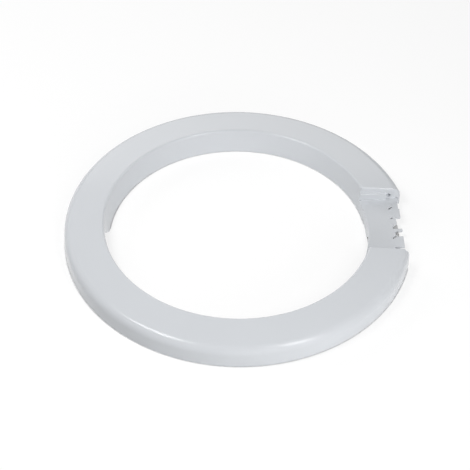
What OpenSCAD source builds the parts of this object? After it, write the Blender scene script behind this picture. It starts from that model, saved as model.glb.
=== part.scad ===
// Outer door frame of a front-loading washing machine: one white moulding, a shallow
// channel-section ring with a stepped pocket for the handle at 3 o'clock.
// It lies on its rear rim, face up. +X points at the handle, +Y at the top of the door,
// and the origin is on the porthole's axis in the plane of the rear rim.

/* [Ring] */
// Outer diameter at the rear rim
outer_d = 400; // [380:1:440]
// Diameter of the porthole opening at the foot of its wall
hole_d = 298; // [270:1:305]
// Depth from the inner edge of the face to the rear rim
depth = 28.7; // [26:0.1:40]
// Thickness of the face and of the outer skirt
wall = 2.5; // [2:0.1:3]
// How far the face falls from its inner edge to its outer edge
face_drop = 4.3; // [0:0.1:6]
// How much narrower in radius the skirt is at the face than at the rear rim
skirt_draft = 0.3; // [0:0.1:3]
// How much wider in radius the porthole is at the face than at the foot of its wall
hole_draft = 5.7; // [0.5:0.1:7]
// Radius of the round between the face and the skirt
outer_round = 10; // [4:0.5:12]
// Radius of the round between the face and the porthole wall
inner_round = 3; // [1:0.5:4]

/* [Porthole wall] */
// Depth of the porthole wall along the lower half of the door
low_depth = 7; // [5:0.5:10]
// Height above the centre line at which the wall is full depth on the hinge side
hinge_step_y = 12; // [5:0.5:20]
// Height above the centre line at which the wall is full depth on the handle side
handle_step_y = -4.5; // [-8:0.5:10]
// Slope of the ends of the full-depth stretch, in degrees from the rear plane
step_angle = 41; // [35:1:70]

/* [Handle pocket] */
// Width of the pocket, across the radius
pocket_w = 98.5; // [80:0.5:110]
// Depth of the pocket's floor below the inner edge of the face
pocket_depth = 18; // [14.5:0.5:20]
// Thickness of the floor
floor_t = 2.5; // [2:0.1:3]
// How far the straight outer edge of the floor lies inside the rear rim
floor_in = 9.4; // [8:0.1:14]
// How far the outer ends of the side walls lie inside the rear rim
end_in = 11.8; // [10:0.1:16]
// How much wider than the pocket the gap in the skirt is, on each side
gap_clear = 1.6; // [0.5:0.1:2.5]
// Width of the ledge that runs along the side walls
ledge_w = 2.5; // [1.5:0.1:4]
// Depth of the ledge below the inner edge of the face
ledge_depth = 9; // [6.5:0.5:9.5]
// How far the outer ends of the ledges lie inside the rear rim
ledge_in = 23.7; // [20:0.1:30]
// Radius of the rounded upper edges of the side walls
edge_round = 1.5; // [0.5:0.1:2]
// Radius of the rounded edges of the ledges
ledge_round = 0.8; // [0.3:0.1:1.2]
// Radius between the side walls and the floor
floor_round = 1.2; // [0.5:0.1:2]
// Diameter of the handle's pivot seats in the side walls
pivot_d = 5; // [4:0.5:7]
// Depth of the pivot seats from the faces of the side walls
pivot_depth = 4; // [3:0.5:6]
// How far the pivot seats lie inside the rear rim
pivot_in = 20.5; // [18:0.5:24]
// Height of the pivot seats above the floor
pivot_up = 4.6; // [3.5:0.1:6]

/* [Latch openings in the floor] */
// How far the straight sides of the latch opening reach inside the floor's edge
latch_in = 5.8; // [4:0.1:7]
// How far the lower opening reaches inside the floor's edge
lower_in = 8.4; // [6:0.1:10]
// How far the opening below the block reaches inside the floor's edge
bay_in = 11.3; // [9:0.1:13]
// How far the spring slots and the tongue's root lie inside the floor's edge
tongue_in = 10.6; // [9:0.1:13]
// Near end of the strip of floor above the latch opening
strip_y = 15.9; // [12:0.1:18]
// Place of the spring tongue's upper side
tongue_y = -2.5; // [-4:0.1:-1]
// Width of the spring tongue
tongue_w = 4; // [2:0.5:5]
// Distance from the tongue's upper side to the outer end of the slanted side above it
hook_y = 8.5; // [7:0.1:10]
// Distance from the tongue's upper side to the inner end of the slanted side
hook_end = 4.3; // [3:0.1:5]
// Upper side of the lower block of the floor
block_top_y = -15; // [-17:0.1:-14]
// Lower side of the lower block of the floor
block_end_y = -32.6; // [-36:0.1:-30]
// Depth of the shallow relief in the floor's edge above the strip
relief_in = 1.2; // [0.5:0.1:2]
// Length of that relief
relief_l = 13; // [6:1:14]
// Distance from the strip's near end to the relief
relief_up = 15; // [12:0.5:18]
// Distance from the strip's near end to the upper spring slot
slot_up = 16.5; // [12:0.5:20]
// Length of the slanted spring slots
slot_l = 6; // [5:0.5:8]
// Width of the slanted spring slots
slot_w = 2.2; // [1.5:0.1:2.5]
// Slant of the spring slots, from the X direction
slot_angle = 42; // [30:1:55]
// Distance from the block's upper side to the lower spring slot
slot_in = 1.6; // [1:0.1:3]
// Diameter of the small locating hole in the floor
peg_hole_d = 2.6; // [2:0.1:4]
// Place of the small locating hole
peg_y = 15.2; // [13:0.1:17]

/* [Rear side] */
// Number of screw bosses, evenly spaced and clear of the handle pocket
boss_count = 8; // [4:1:8]
// Diameter of the circle through the screw bosses
boss_circle_d = 352; // [348:1:356]
// Outside diameter of a screw boss
boss_d = 8.5; // [7:0.5:10]
// Diameter of the pilot hole for a self-tapping screw
pilot_d = 3.4; // [2.5:0.1:4]
// Depth of the pilot holes
pilot_depth = 20; // [10:1:21]
// Thickness of the ribs
rib_t = 1.8; // [1.2:0.1:2.5]
// How far the ribs in the channel stay above the rear rim
rib_setback = 9; // [6:0.5:12]
// Height of the ribs under the pocket's floor
floor_rib_h = 5; // [3:0.5:6]
// Distance from the spring tongue's root to the ribs that run across the floor
floor_rib_gap = 5.4; // [3:0.1:8]

/* [Hidden] */
$fn = 144;
outer_r = outer_d / 2;
hole_r = hole_d / 2;
boss_r = boss_circle_d / 2;
face_z = depth;
floor_z = face_z - pocket_depth;
ledge_z = face_z - ledge_depth;
half_w = pocket_w / 2;
floor_x = outer_r - floor_in;
end_x = outer_r - end_in;
ledge_end = outer_r - ledge_in;
latch_x = floor_x - latch_in;
lower_x = floor_x - lower_in;
bay_x = floor_x - bay_in;
tongue_x = floor_x - tongue_in;
near_x = hole_r / 2;
far_x = 2 * outer_r;
clear = 2;
least_round = 0.4;
arc_steps = 6;
boss_fn = 48;
hole_fn = 32;
hole_top_r = hole_r + hole_draft;
lip_r = outer_r - skirt_draft;
first_boss = 180 / boss_count;
// Corners of the section before rounding: foot of the porthole wall, inner edge of the
// face, outer edge of the face and foot of the skirt.
section = [[hole_r, 0], [hole_top_r, face_z], [lip_r, face_z - face_drop], [outer_r, 0]];

function unit(v) = v / norm(v);
// A point's shift into the material beside the side from p to q of the section.
function inward(p, q) = let(u = unit(q - p)) [u[1], -u[0]];
function meet(p, u, q, v) = p + u * cross(q - p, v) / cross(u, v);
// The section's corners moved by t into the material.
function inset(t) =
    let(s = section,
        n = [for (i = [0:2]) inward(s[i], s[i + 1]) * t],
        d = [for (i = [0:2]) s[i + 1] - s[i]])
    [meet(s[0] + n[0], d[0], [0, 0], [1, 0]),
     meet(s[0] + n[0], d[0], s[1] + n[1], d[1]),
     meet(s[1] + n[1], d[1], s[2] + n[2], d[2]),
     meet(s[2] + n[2], d[2], [0, 0], [1, 0])];
// Points of an arc of radius r that rounds the corner b between a and c.
function rounded(a, b, c, r) =
    let(u = unit(a - b),
        v = unit(c - b),
        half = acos(u * v) / 2,
        o = b + unit(u + v) * r / sin(half),
        p = b + u * r / tan(half) - o,
        turn = (180 - 2 * half) * sign(cross(v, u)))
    [for (i = [0:arc_steps])
        let(w = turn * i / arc_steps)
        o + [p[0] * cos(w) - p[1] * sin(w), p[0] * sin(w) + p[1] * cos(w)]];
// The section's outline moved by t into the material, from foot to foot.
function outline(t) =
    let(k = inset(t))
    concat([k[0]],
        rounded(k[0], k[1], k[2], max(inner_round - t, least_round)),
        rounded(k[1], k[2], k[3], max(outer_round - t, least_round)),
        [k[3]]);
function backwards(list) = [for (i = [len(list) - 1:-1:0]) list[i]];

// Lays a YZ outline along +X, from x0 to x1.
module along_x(x0, x1) {
    translate([x0, 0, 0])
        rotate([90, 0, 90])
            linear_extrude(x1 - x0)
                children();
}

// The channel-section ring, open at the rear, with the gap in its skirt at the pocket.
module ring_shell() {
    skirt_x = sqrt(pow(outer_r - wall, 2) - pow(half_w, 2)) - clear;
    difference() {
        rotate_extrude()
            polygon(concat(outline(0), backwards(outline(wall))));
        translate([skirt_x, -half_w, -clear])
            cube([outer_r, pocket_w, depth + 2 * clear]);
    }
}

// The space inside the middle of the ring's walls, which trims what stands in the channel.
module channel_space() {
    rotate_extrude()
        polygon(outline(wall / 2));
}

// What is cut off the porthole wall's foot: all of it below low_depth on the lower half,
// with slanted ends, and only what lies under the floor where it crosses the pocket.
module low_wall_side(x0, x1, step_y, end_y, top_z) {
    slope_y = step_y - top_z / tan(step_angle);
    along_x(x0, x1)
        polygon([[end_y, -clear], [step_y + clear / tan(step_angle), -clear],
                 [slope_y, top_z], [end_y, top_z]]);
}
module low_wall_cut() {
    intersection() {
        cylinder(r = hole_top_r + wall + clear, h = 4 * depth, center = true);
        union() {
            low_wall_side(-outer_r, 0, hinge_step_y, -outer_r, face_z - low_depth);
            low_wall_side(0, outer_r, handle_step_y, -half_w - wall, floor_z - floor_t);
            translate([-clear, -outer_r, -clear])
                cube([outer_r, outer_r - half_w - wall, face_z - low_depth + clear]);
        }
    }
}

// A block beside the pocket, from x[0] to x[1], whose y range is given as distances from the
// pocket's centre line and lies above it for side 1 and below it for side -1.
module side_block(side, x, y, z) {
    translate([x[0], side > 0 ? y[0] : -y[1], z[0]])
        cube([x[1] - x[0], y[1] - y[0], z[1] - z[0]]);
}
// The pocket's two side walls, which close the channel, with their ledges. Their outer
// ends stand back from the gap in the skirt.
module pocket_walls() {
    for (side = [-1, 1]) {
        side_block(side, [near_x, far_x], [half_w, half_w + wall], [0, depth]);
        side_block(side, [near_x, ledge_end], [half_w - ledge_w, half_w + wall], [0, ledge_z]);
        side_block(side, [end_x - wall, far_x], [half_w, half_w + gap_clear + wall], [0, depth]);
    }
}
module pocket_floor() {
    translate([near_x, -half_w - wall / 2, floor_z - floor_t])
        cube([floor_x - near_x, pocket_w + wall, floor_t]);
}
// Ribs under the floor: one across its upper part, one across the lower block, and one
// that stiffens the upper part's outer edge.
module floor_ribs() {
    upper_y = (strip_y + half_w) / 2;
    lower_y = (block_top_y + block_end_y) / 2;
    rib_z = floor_z - floor_t - floor_rib_h;
    rib_end = tongue_x - floor_rib_gap;
    for (y = [upper_y, lower_y])
        translate([near_x, y - rib_t / 2, rib_z])
            cube([rib_end - near_x, rib_t, floor_rib_h + floor_t / 2]);
    translate([rib_end - rib_t, upper_y, rib_z])
        cube([rib_t, half_w - upper_y + wall / 2, floor_rib_h + floor_t / 2]);
}

// A slanted slot for a spring's leg, with round ends.
module spring_slot(x, y) {
    reach = (slot_l - slot_w) / 2;
    translate([x, y, floor_z - floor_t - clear])
        rotate([0, 0, slot_angle]) {
            translate([-reach, -slot_w / 2, 0])
                cube([2 * reach, slot_w, floor_t + 2 * clear]);
            for (end = [-reach, reach])
                translate([end, 0, 0])
                    cylinder(d = slot_w, h = floor_t + 2 * clear, $fn = hole_fn);
        }
}

// The section of the room for the handle, from the floor to above the face, with rounds
// of corner at the floor. low is half its width below the ledge.
module room_section(low, edge) {
    right = concat(
        rounded([0, floor_z], [low, floor_z], [low, ledge_z], floor_round),
        edge,
        [[half_w, face_z + clear]]);
    polygon(concat(right, [for (p = backwards(right)) [-p[0], p[1]]]));
}
module pocket_room() {
    low = half_w - ledge_w;
    along_x(near_x, outer_r + clear)
        room_section(low, concat(
            rounded([low, floor_z], [low, ledge_z], [half_w, ledge_z], ledge_round),
            [[half_w, ledge_z]]));
    along_x(ledge_end, outer_r + clear)
        room_section(half_w, []);
}
// What is cut off beyond the outer ends of the side walls.
module wall_ends() {
    for (side = [-1, 1]) {
        side_block(side, [end_x, far_x], [half_w - wall / 2, half_w + gap_clear],
                   [floor_z, depth + clear]);
        side_block(side, [end_x, far_x], [half_w, half_w + gap_clear], [-clear, depth]);
    }
}

// Rounds off the upper edges of the pocket's side walls, along the slope of the face.
module pocket_edges() {
    inner_x = sqrt(pow(hole_top_r, 2) - pow(half_w, 2));
    tilt = atan(face_drop / (sqrt(pow(lip_r, 2) - pow(half_w, 2)) - inner_x));
    for (side = [-1, 1])
        translate([inner_x, side * half_w, face_z])
            rotate([0, tilt, 0])
                along_x(-hole_r / 2, outer_r)
                    difference() {
                        translate([min(0, side * edge_round), -edge_round])
                            square([edge_round, 2 * edge_round]);
                        translate([side * edge_round, -edge_round])
                            circle(r = edge_round, $fn = boss_fn);
                    }
}

// What the latch and the handle's springs pass through at the outer edge of the floor.
module latch_openings() {
    z0 = floor_z - floor_t - clear;
    tall = floor_t + 2 * clear;
    tongue_end = tongue_y - tongue_w;
    translate([0, 0, z0])
        linear_extrude(tall) {
            polygon([[outer_r, strip_y], [latch_x, strip_y], [latch_x, tongue_y + hook_y],
                     [tongue_x, tongue_y + hook_end], [tongue_x, tongue_y],
                     [outer_r, tongue_y]]);
            polygon([[outer_r, tongue_end], [lower_x, tongue_end],
                     [lower_x, block_top_y], [outer_r, block_top_y]]);
            polygon([[outer_r, block_end_y], [bay_x, block_end_y],
                     [bay_x, -half_w], [outer_r, -half_w]]);
            translate([floor_x - relief_in, strip_y + relief_up])
                square([outer_r, relief_l]);
        }
    spring_slot(tongue_x, strip_y + slot_up);
    spring_slot(tongue_x, block_top_y - slot_in);
    translate([tongue_x, peg_y, z0])
        cylinder(d = peg_hole_d, h = tall, $fn = hole_fn);
}
// A cylinder on the handle's pivot axis at each side wall, between two distances outwards
// from the wall's face.
module pivots(d, from, to) {
    for (side = [-1, 1])
        translate([outer_r - pivot_in, side * (half_w + to), floor_z + pivot_up])
            rotate([side * 90, 0, 0])
                cylinder(d = d, h = to - from, $fn = boss_fn);
}

// Screw bosses, which reach the plane of the rear rim, with a radial rib through each.
module bosses() {
    for (i = [0:boss_count - 1])
        rotate([0, 0, first_boss + i * 360 / boss_count]) {
            translate([boss_r, 0, 0])
                cylinder(d = boss_d, h = depth, $fn = boss_fn);
            translate([near_x, -rib_t / 2, rib_setback])
                cube([outer_r, rib_t, depth]);
        }
}
module pilot_holes() {
    for (i = [0:boss_count - 1])
        rotate([0, 0, first_boss + i * 360 / boss_count])
            translate([boss_r, 0, -clear])
                cylinder(d = pilot_d, h = pilot_depth + clear, $fn = hole_fn);
}
// Plain ribs half-way between the bosses, apart from the one that would cross the pocket.
module between_ribs() {
    for (i = [1:boss_count - 1])
        rotate([0, 0, i * 360 / boss_count])
            translate([near_x, -rib_t / 2, rib_setback])
                cube([outer_r, rib_t, depth]);
}
module door_frame() {
    color([0.83, 0.84, 0.86])
        difference() {
            union() {
                ring_shell();
                intersection() {
                    channel_space();
                    union() {
                        bosses();
                        between_ribs();
                        pocket_walls();
                        floor_ribs();
                        pivots(pivot_d + 2 * rib_t, wall / 2, pivot_depth + rib_t);
                    }
                }
                intersection() {
                    rotate_extrude()
                        polygon(outline(0));
                    pocket_floor();
                }
            }
            low_wall_cut();
            pocket_room();
            pocket_edges();
            latch_openings();
            pivots(pivot_d, -wall / 2, pivot_depth);
            pilot_holes();
            wall_ends();
        }
}

door_frame();
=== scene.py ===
import math

import bmesh
import bpy
import numpy as np
from mathutils import Matrix, Vector


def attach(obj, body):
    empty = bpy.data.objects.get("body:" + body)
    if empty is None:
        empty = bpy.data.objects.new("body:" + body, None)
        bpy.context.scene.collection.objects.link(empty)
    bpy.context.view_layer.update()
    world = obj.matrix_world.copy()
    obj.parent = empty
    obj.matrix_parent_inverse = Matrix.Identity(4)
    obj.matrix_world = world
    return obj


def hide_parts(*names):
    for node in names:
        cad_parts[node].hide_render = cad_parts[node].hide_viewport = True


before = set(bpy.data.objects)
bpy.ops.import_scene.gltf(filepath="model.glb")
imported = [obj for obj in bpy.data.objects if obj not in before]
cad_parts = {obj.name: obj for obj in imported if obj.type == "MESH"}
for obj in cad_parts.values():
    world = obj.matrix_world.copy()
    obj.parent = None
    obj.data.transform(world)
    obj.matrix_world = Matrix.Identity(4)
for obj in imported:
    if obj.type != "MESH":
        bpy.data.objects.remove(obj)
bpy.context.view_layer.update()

# ---- The camera ----------------------------------------------------------------------
# It stands in front of the door's lower edge and looks down at the face at about 44
# degrees, with a long lens. Its place follows the outline of the ring in the photograph.
TARGET = (-0.00327, -0.02520, 0.0272)
DISTANCE = 1.9129
ELEVATION = 44.4288
ROLL = 0.827
TURN = -2.6645
LENS_MM = 128.65
SENSOR_MM = 36

eye = bpy.data.objects.new("camera", bpy.data.cameras.new("camera"))
eye.data.lens = LENS_MM
eye.data.sensor_width = SENSOR_MM
eye.matrix_world = (Matrix.Rotation(math.radians(TURN), 4, "Z")
                    @ Matrix.Translation(TARGET)
                    @ Matrix.Rotation(math.radians(90 - ELEVATION), 4, "X")
                    @ Matrix.Rotation(math.radians(ROLL), 4, "Z")
                    @ Matrix.Translation((0, 0, DISTANCE)))
bpy.context.scene.collection.objects.link(eye)
bpy.context.scene.camera = eye


# ---- The door frame ------------------------------------------------------------------
# One injection moulding of glossy white ABS. The tool gives every edge a small round, and
# the gloss has the faint waviness that a wide moulded face takes as it cools.
FRAME_SRGB = (0.800, 0.812, 0.828)
DRIFT_SCALE = 14.0
DRIFT_DETAIL = 3.0
DRIFT_SHADE = 0.96
FRAME_ROUGHNESS = 0.18
ROUGHNESS_DRIFT = 0.06
FRAME_IOR = 1.5
WAVE_SCALE = 38
WAVE_DEPTH = 0.00004
PEEL_SCALE = 900
PEEL_DEPTH = 0.000004
MERGE_GAP = 2e-6
FLAT_DEG = 0.05
EDGE_ROUND = 0.0004
EDGE_STEPS = 2
SHARP_DEG = 32


def linear(srgb):
    """Colour in linear light from sRGB values of 0 to 1: ((c + 0.055) / 1.055) ** 2.4, and
    c / 12.92 for the darkest."""
    c = np.asarray(srgb, float)
    low, high = c / 12.92, ((c + 0.055) / 1.055) ** 2.4
    return (*np.where(c <= 0.04045, low, high), 1.0)


class Wire:
    """A socket of a node tree. Operators on it add Math nodes, and node() adds any other."""

    def __init__(self, tree, socket=None):
        self.tree, self.socket = tree, socket

    def node(self, kind, settings=(), out=0, **inputs):
        """Adds a node: its settings first, then its sockets by name, or i and a number."""
        new = self.tree.nodes.new(kind)
        for name, value in dict(settings).items():
            setattr(new, name, value)
        for name, value in inputs.items():
            key = int(name[1:]) if name[1:].isdigit() else name.replace("_", " ")
            if isinstance(value, Wire):
                self.tree.links.new(value.socket, new.inputs[key])
            else:
                new.inputs[key].default_value = value
        return Wire(self.tree, new.outputs[out]) if new.outputs else None

    def math(self, operation, a, b):
        return self.node("ShaderNodeMath", {"operation": operation}, i0=a, i1=b)

    def __add__(self, other): return self.math("ADD", self, other)
    def __sub__(self, other): return self.math("SUBTRACT", self, other)
    def __rsub__(self, other): return self.math("SUBTRACT", other, self)
    def __mul__(self, other): return self.math("MULTIPLY", self, other)
    def __gt__(self, other): return self.math("GREATER_THAN", self, other)
    def __lt__(self, other): return self.math("LESS_THAN", self, other)
    def __abs__(self): return self.math("ABSOLUTE", self, 0.0)


def new_material(name):
    """An empty node material, and a Wire to start its nodes from."""
    material = bpy.data.materials.new(name)
    material.use_nodes = True
    material.node_tree.nodes.clear()
    return material, Wire(material.node_tree)


def glossy_abs():
    """White moulded gloss: base colour and roughness drift a little, the surface waves."""
    material, w = new_material("glossy_white_abs")
    place = w.node("ShaderNodeTexCoord", out="Object")
    drift = w.node("ShaderNodeTexNoise", Vector=place, Scale=DRIFT_SCALE, Detail=DRIFT_DETAIL)
    wave = w.node("ShaderNodeTexNoise", Vector=place, Scale=WAVE_SCALE, Detail=1.0)
    peel = w.node("ShaderNodeTexNoise", Vector=place, Scale=PEEL_SCALE, Detail=1.0)
    pale = linear(FRAME_SRGB)
    deep = (*(DRIFT_SHADE * np.array(pale[:3])), 1.0)
    colour = w.node("ShaderNodeMix", {"data_type": "RGBA"}, out=2, i0=drift, i6=deep, i7=pale)
    height = wave * WAVE_DEPTH + peel * PEEL_DEPTH
    bump = w.node("ShaderNodeBump", Strength=1.0, Distance=1.0, Height=height)
    roughness = drift * ROUGHNESS_DRIFT + (FRAME_ROUGHNESS - ROUGHNESS_DRIFT / 2)
    shine = w.node("ShaderNodeBsdfPrincipled", Base_Color=colour, Roughness=roughness,
                   Normal=bump, IOR=FRAME_IOR)
    w.node("ShaderNodeOutputMaterial", Surface=shine)
    return material


def moulded_copy(node, name):
    """The node's mesh with its loose triangles joined and its flat faces made whole."""
    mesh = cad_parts[node].data.copy()
    mesh.name = name
    shape = bmesh.new()
    shape.from_mesh(mesh)
    bmesh.ops.remove_doubles(shape, verts=shape.verts, dist=MERGE_GAP)
    bmesh.ops.dissolve_limit(shape, angle_limit=math.radians(FLAT_DEG),
                             verts=shape.verts, edges=shape.edges)
    shape.to_mesh(mesh)
    shape.free()
    mesh.materials.clear()
    mesh.shade_smooth()
    piece = bpy.data.objects.new(name, mesh)
    bpy.context.scene.collection.objects.link(piece)
    return piece


ring = moulded_copy("door_frame", "moulded_frame")
bevel = ring.modifiers.new("tool_edges", "BEVEL")
bevel.width = EDGE_ROUND
bevel.segments = EDGE_STEPS
bevel.limit_method = "ANGLE"
bevel.angle_limit = math.radians(SHARP_DEG)
bevel.use_clamp_overlap = False
bevel.miter_outer = "MITER_ARC"
normals = ring.modifiers.new("even_gloss", "WEIGHTED_NORMAL")
normals.keep_sharp = True
ring.data.materials.append(glossy_abs())
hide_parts("door_frame")
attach(ring, "root")


# ---- Floor and lamps -----------------------------------------------------------------
# A white floor in a white surround, with painted shade at the feet and under the pocket. Two
# soft boxes about a metre above the ring's left and its front right draw the streaks on lip
# and shoulder. The others fill in, most of them with no mirror image. One shares the right
# box's place, so that its streak doesn't clip.
FLOOR_HALF = 4.0
FLOOR_GAP = 0.0002
FLOOR_ALBEDO = 0.8
FLOOR_WHITE = 1.1
WHITE_SHARE = 0.7
POCKET_START = 0.150
POCKET_RADIUS = 0.188
SKIRT_FOOT = 0.200
SKIRT_END = 0.192
WALL_FOOT = 0.149
WALL_START = 0.017
FOOT_REACH = 0.0009
RIGHT_BOX = ((0.530, -0.720, 0.930), (0.27, 0.72))
# Name, place, width and length, watts, and whether reflections show it.
LAMPS = [
    ("streak_left", (-0.510, -0.120, 1.120), (0.50, 0.30), 4.0, True),
    ("streak_right", *RIGHT_BOX, 4.2, True),
    ("back", (0.0, 2.0, 1.0), (1.6, 0.8), 5.6, True),
    ("above_right", *RIGHT_BOX, 2.6, False),
    ("above_left", (-0.5, 0.0, 1.0), (0.5, 0.5), 3.0, False),
    ("back_left", (-1.527, 1.282, 0.930), (1.4, 1.0), 17.5, False),
    ("front_right", (1.366, -1.628, 0.569), (1.4, 0.8), 11.5, False),
    ("front", (0.62, -2.06, 0.457), (1.4, 0.6), 13.5, False),
]


def seen(w):
    """1 for the rays of the camera, of reflections and of what shows through, else 0."""
    camera, glossy, through = (w.node("ShaderNodeLightPath", out=f"Is {kind} Ray")
                               for kind in ("Camera", "Glossy", "Transmission"))
    return camera + glossy + through


def white_floor():
    """Pale diffuse, part plain white where it is seen. The white is left out at the foot of
    the skirt and of the full wall and under the pocket, where the part's own shadow lies, so
    these strips are partly real shadow and partly painted shade."""
    material, w = new_material("white_floor")
    place = w.node("ShaderNodeTexCoord", out="Object")
    x, y = (w.node("ShaderNodeSeparateXYZ", out=axis, i0=place) for axis in "XY")
    radius = w.node("ShaderNodeVectorMath", {"operation": "LENGTH"}, out="Value", i0=place)
    # Painted shade: strips at the feet and under the pocket lose the floor's white and show
    # darker than the rest of the floor.
    pocket = (x > POCKET_START) * (radius < POCKET_RADIUS)
    skirt = (abs(radius - SKIRT_FOOT) < FOOT_REACH) * (x < SKIRT_END)
    wall = (abs(radius - WALL_FOOT) < FOOT_REACH) * (y > WALL_START)
    painted_foot_shade = w.math("MAXIMUM", skirt, wall)
    pale = w.node("ShaderNodeBsdfDiffuse", Color=(FLOOR_ALBEDO,) * 3 + (1.0,))
    white = w.node("ShaderNodeEmission", Strength=FLOOR_WHITE)
    share = seen(w) * (1 - pocket) * (1 - painted_foot_shade) * WHITE_SHARE
    both = w.node("ShaderNodeMixShader", i0=share, i1=pale, i2=white)
    w.node("ShaderNodeOutputMaterial", Surface=both)
    return material


plane = bpy.data.meshes.new("white_floor")
plane.from_pydata([(x * FLOOR_HALF, y * FLOOR_HALF, -FLOOR_GAP) for x, y in
                   ((-1, -1), (1, -1), (1, 1), (-1, 1))], [], [(0, 1, 2, 3)])
floor = bpy.data.objects.new("white_floor", plane)
floor.data.materials.append(white_floor())
bpy.context.scene.collection.objects.link(floor)

for name, place, (width, length), watts, mirrored in LAMPS:
    lamp = bpy.data.objects.new(name, bpy.data.lights.new(name, "AREA"))
    lamp.data.shape = "RECTANGLE"
    lamp.data.size, lamp.data.size_y = width, length
    lamp.data.energy = watts
    lamp.location = place
    lamp.rotation_euler = Vector(place).to_track_quat("Z", "Y").to_euler()
    lamp.visible_glossy = mirrored
    bpy.context.scene.collection.objects.link(lamp)

world = bpy.data.worlds.new("white_surround")
world.use_nodes = True
world.node_tree.nodes.clear()
bpy.context.scene.world = world
w = Wire(world.node_tree)
air = w.node("ShaderNodeBackground", Color=(1, 1, 1, 1), Strength=seen(w))
w.node("ShaderNodeOutputWorld", Surface=air)

bpy.context.scene.view_settings.view_transform = "Standard"
